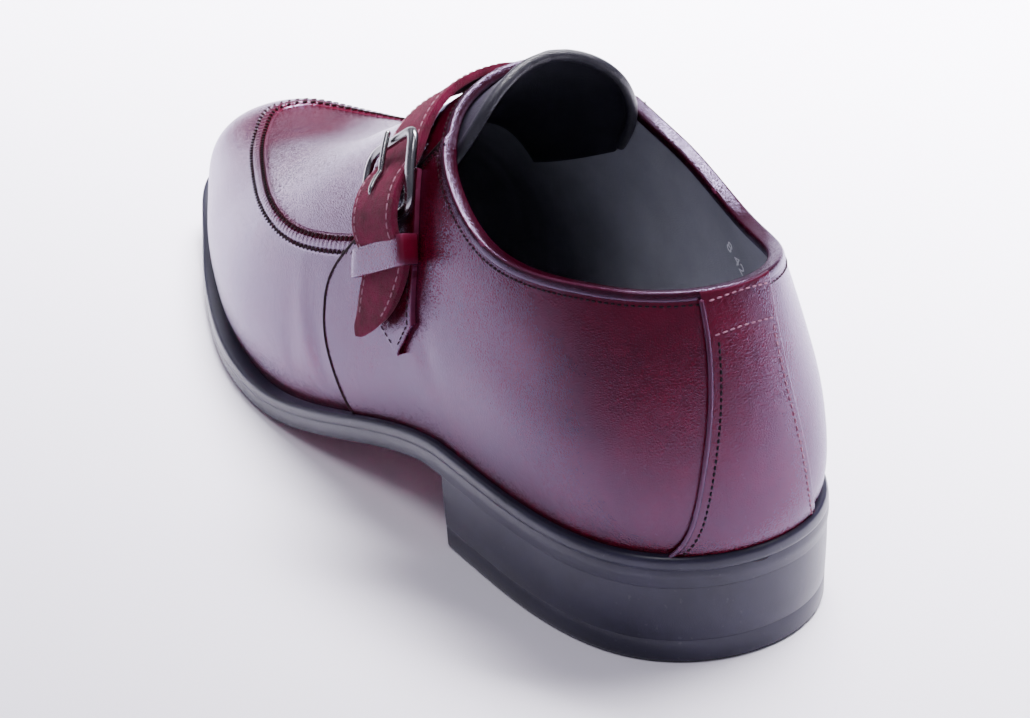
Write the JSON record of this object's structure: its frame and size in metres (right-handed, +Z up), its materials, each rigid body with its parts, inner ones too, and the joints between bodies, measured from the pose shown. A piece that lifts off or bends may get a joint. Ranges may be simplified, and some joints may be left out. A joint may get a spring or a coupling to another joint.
{
  "type": "monk strap shoe",
  "caption": "Left leather dress shoe with a raised apron seam, a suede strap with a side buckle, a tongue, a welted sole and a low stacked heel.",
  "frame": {"origin": "centre of the bounding box, on the floor under the shoe", "axes": "+X from heel to toe, +Y to the outer (lateral) side of this left shoe, +Z up"},
  "size_m": [0.3048, 0.102, 0.1152],
  "materials": {
    "upper_leather": "polished burgundy leather",
    "lining_leather": "smooth black leather",
    "sole_edge": "black satin edge dressing",
    "outsole_leather": "burgundy stained sole leather",
    "heel_rubber": "black satin rubber",
    "suede": "burgundy suede",
    "buckle_metal": "dark polished metal"
  },
  "bodies": {
    "root": {"upper": "upper_leather", "tongue": "lining_leather", "insole": "lining_leather", "welt": "sole_edge", "outsole": "outsole_leather", "heel_stack": "sole_edge", "top_lift": "heel_rubber", "strap": "suede", "buckle_tab": "upper_leather", "keeper": "upper_leather", "buckle_frame": "buckle_metal", "buckle_prong": "buckle_metal"}
  },
  "joints": []
}
